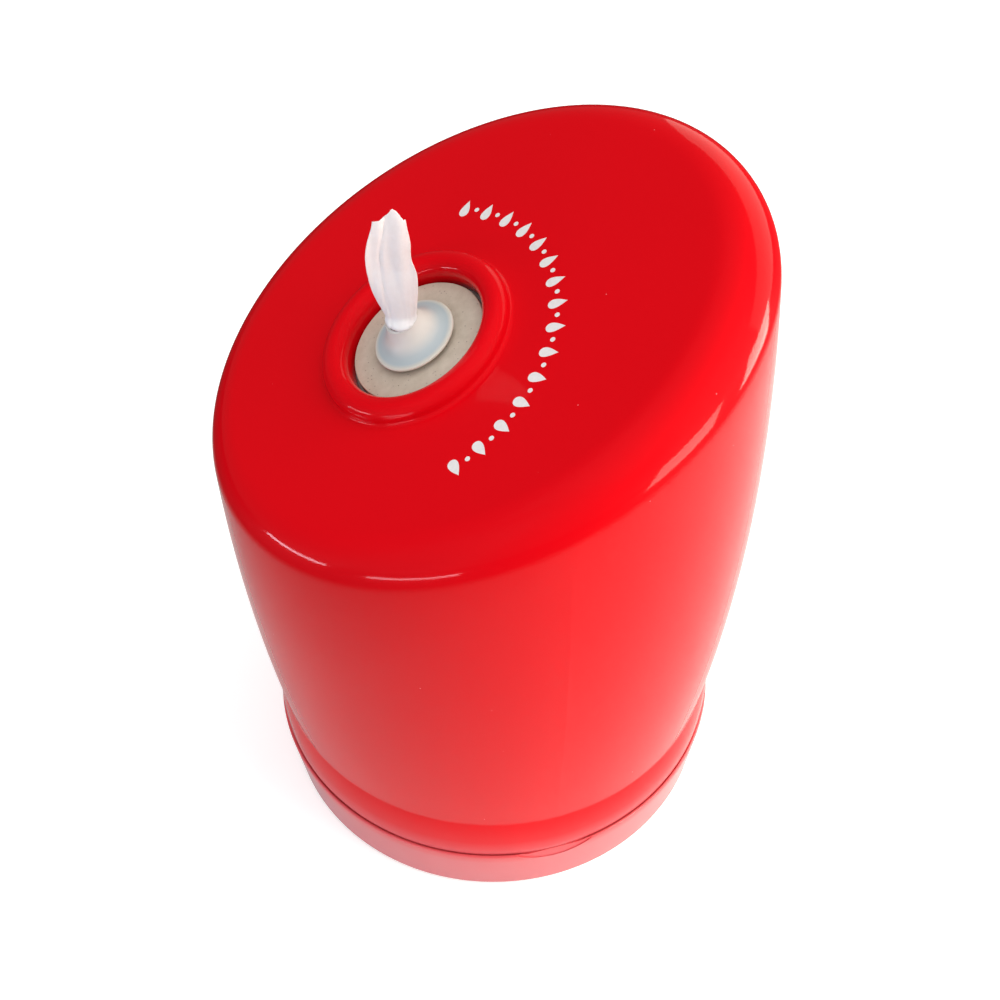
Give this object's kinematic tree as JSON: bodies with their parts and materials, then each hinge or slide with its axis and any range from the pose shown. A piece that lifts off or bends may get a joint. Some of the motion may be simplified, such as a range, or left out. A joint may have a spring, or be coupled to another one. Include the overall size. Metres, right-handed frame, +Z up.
{
  "type": "wipes dispenser",
  "caption": "Free-standing countertop dispenser for wet wipes: round body with a sloping top, a rolled collar and a soft nozzle that the wipe is pulled through.",
  "frame": {"origin": "on the supporting surface, on the body's centre line", "axes": "+Z up; the top slopes down towards -Y, the front, and +X is the user's right"},
  "size_m": [0.2102, 0.2102, 0.3032],
  "materials": {
    "body_red": "gloss moulded ABS",
    "plate_grey": "fine-grained satin",
    "nozzle_clear": "soft translucent silicone",
    "bush_white": "moulded polypropylene",
    "seal_rubber": "soft grey EPDM",
    "foot_rubber": "matt black",
    "screw_steel": "zinc plated",
    "ballast_steel": "zinc plated, dull",
    "pad_foam": "closed-cell foam",
    "inner_black": "spark-textured",
    "liner_natural": "natural HDPE, slightly waxy",
    "wipe_cloth": "damp white nonwoven"
  },
  "bodies": {
    "base": {"base_tray": "body_red", "cover_seal": "seal_rubber", "bottom_cover": "inner_black", "ballast_plate": "ballast_steel", "ballast_pad": "pad_foam", "bottom_screws": "screw_steel", "foot_front": "foot_rubber", "foot_right": "foot_rubber", "foot_back": "foot_rubber", "foot_left": "foot_rubber"},
    "cover": {"cover_shell": "body_red", "nozzle_plate": "plate_grey", "plate_gasket": "seal_rubber", "clamp_ring": "inner_black", "clamp_screws": "screw_steel", "nozzle_bush": "bush_white", "upper_washer": "seal_rubber", "lower_washer": "seal_rubber", "nozzle_nut": "bush_white", "nozzle_dome": "nozzle_clear"},
    "liner": {"liner_bucket": "liner_natural"},
    "refill": {"refill_roll": "wipe_cloth"},
    "wipe": {"wipe_strand": "wipe_cloth", "wipe_tail": "wipe_cloth"}
  },
  "joints": [
    {"name": "cover_lift", "type": "slide", "parent": "base", "child": "cover", "axis": [0, 0, 1], "range_m": [0, 0.4]},
    {"name": "liner_lift", "type": "slide", "parent": "base", "child": "liner", "axis": [0, 0, 1], "range_m": [0, 0.0605]},
    {"name": "roll_lift", "type": "slide", "parent": "base", "child": "refill", "axis": [0, 0, 1], "range_m": [0, 0.2325]},
    {"name": "wipe_pull", "type": "slide", "parent": "cover", "child": "wipe", "axis": [0, -0.4258, 0.9048], "range_m": [0, 0.085]}
  ],
  "couplings": [
    {"joint": "liner_lift", "follows": "cover_lift", "ratio": 0.15},
    {"joint": "roll_lift", "follows": "cover_lift", "ratio": 0.58}
  ]
}
